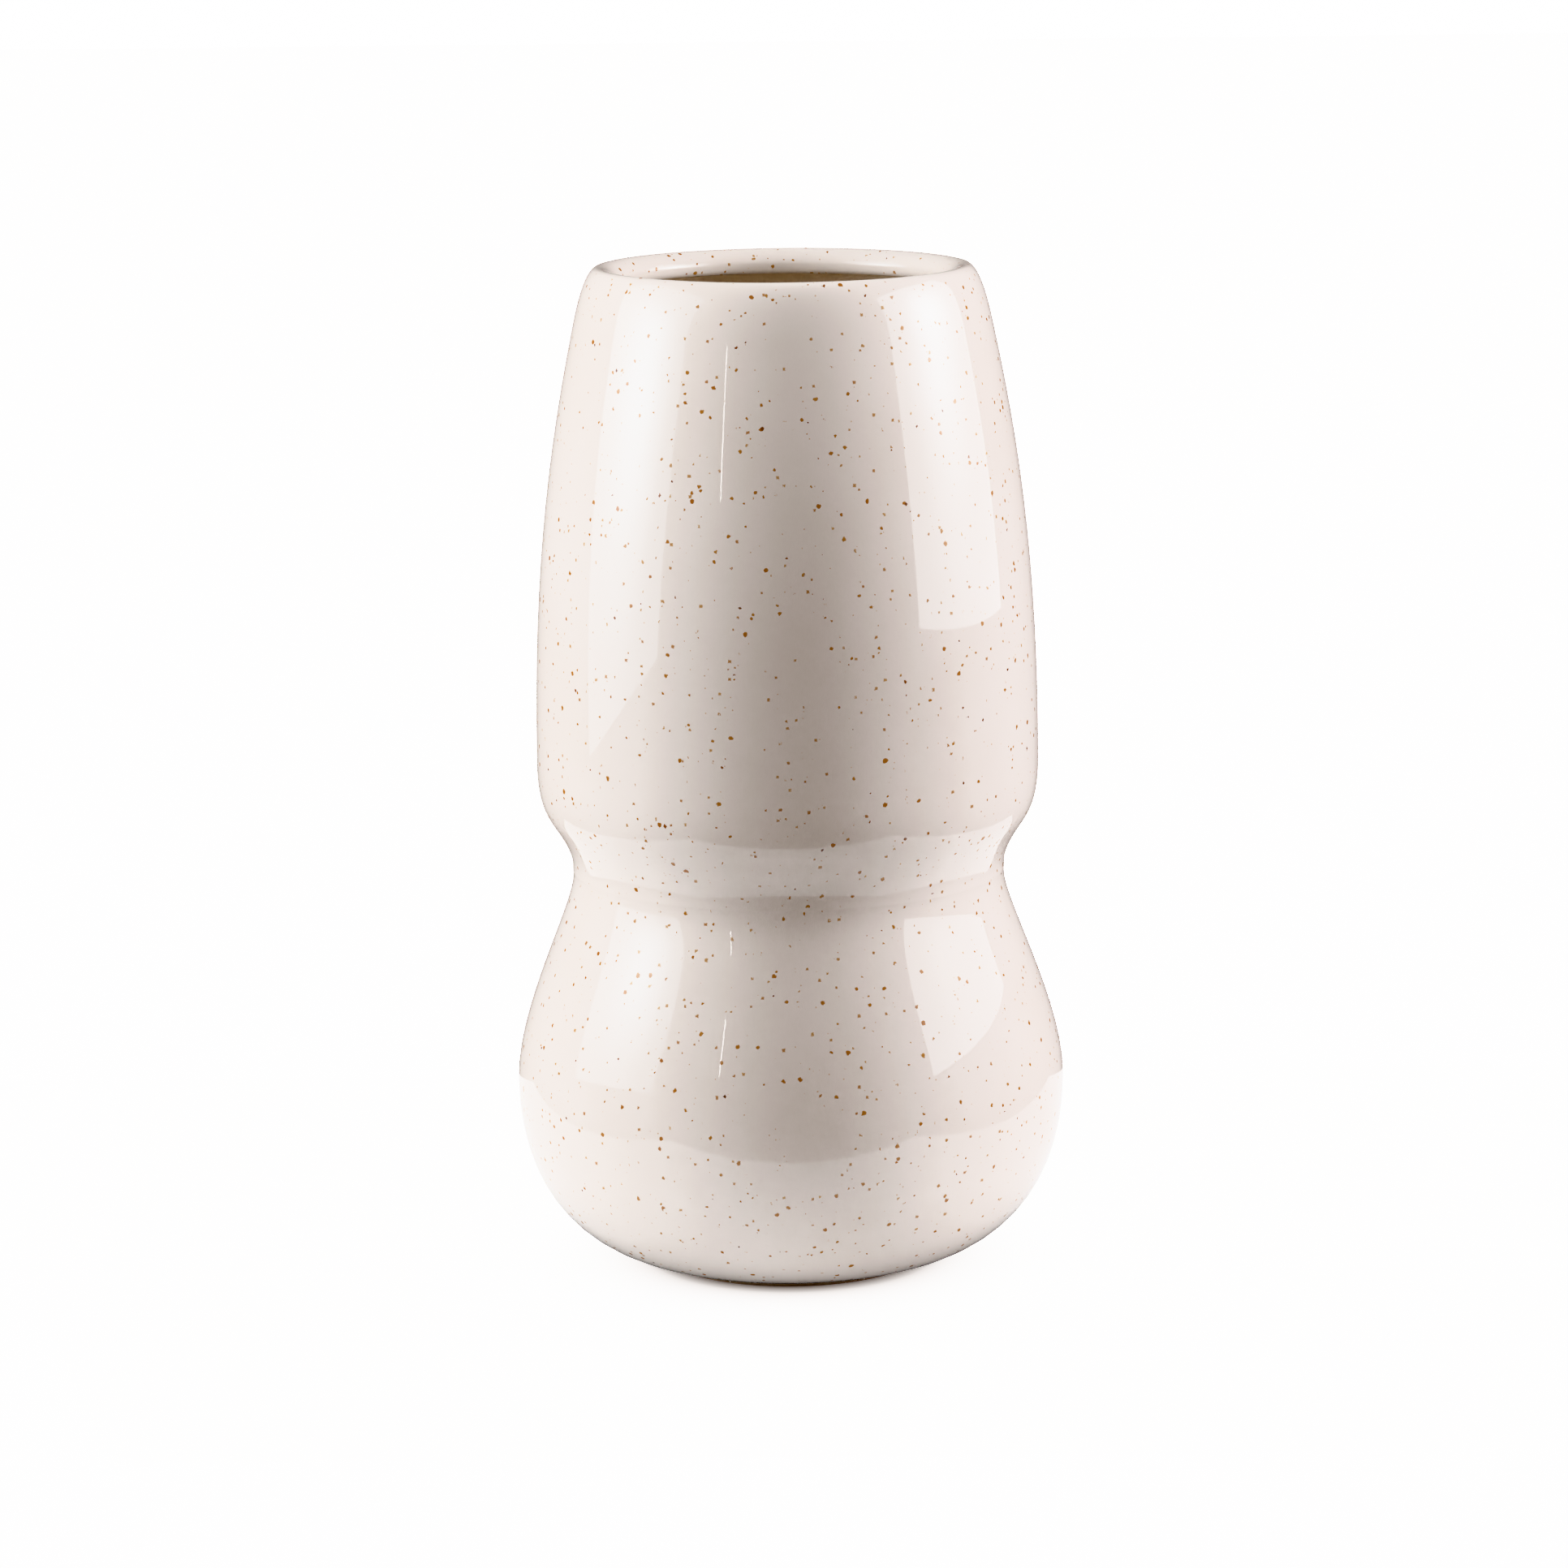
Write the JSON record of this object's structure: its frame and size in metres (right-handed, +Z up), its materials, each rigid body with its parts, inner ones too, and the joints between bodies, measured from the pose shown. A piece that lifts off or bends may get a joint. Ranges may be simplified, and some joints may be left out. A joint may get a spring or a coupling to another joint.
{
  "type": "vase",
  "caption": "Double-bellied stoneware vase with a narrow waist, a straight barrel, a rolled lip and a speckled cream glaze.",
  "frame": {"origin": "centre of the foot on the table plane", "axes": "+Z up along the vase's axis of revolution; X and Y are free, because the vase is round"},
  "size_m": [0.1376, 0.1376, 0.25],
  "materials": {
    "bare_stoneware": "unglazed, fine sandy grain",
    "stoneware_body": "fired clay under the glaze",
    "slip": "fired slip under the glaze",
    "speckled_glaze": "glossy cream white with ochre and iron-brown specks",
    "liner_glaze": "glossy cream white with fewer specks"
  },
  "bodies": {
    "root": {"foot_ring": "bare_stoneware", "lower_body": "stoneware_body", "joint_slip": "slip", "upper_body": "stoneware_body", "rolled_lip": "stoneware_body", "outer_glaze": "speckled_glaze", "liner_glaze": "liner_glaze"}
  },
  "joints": []
}
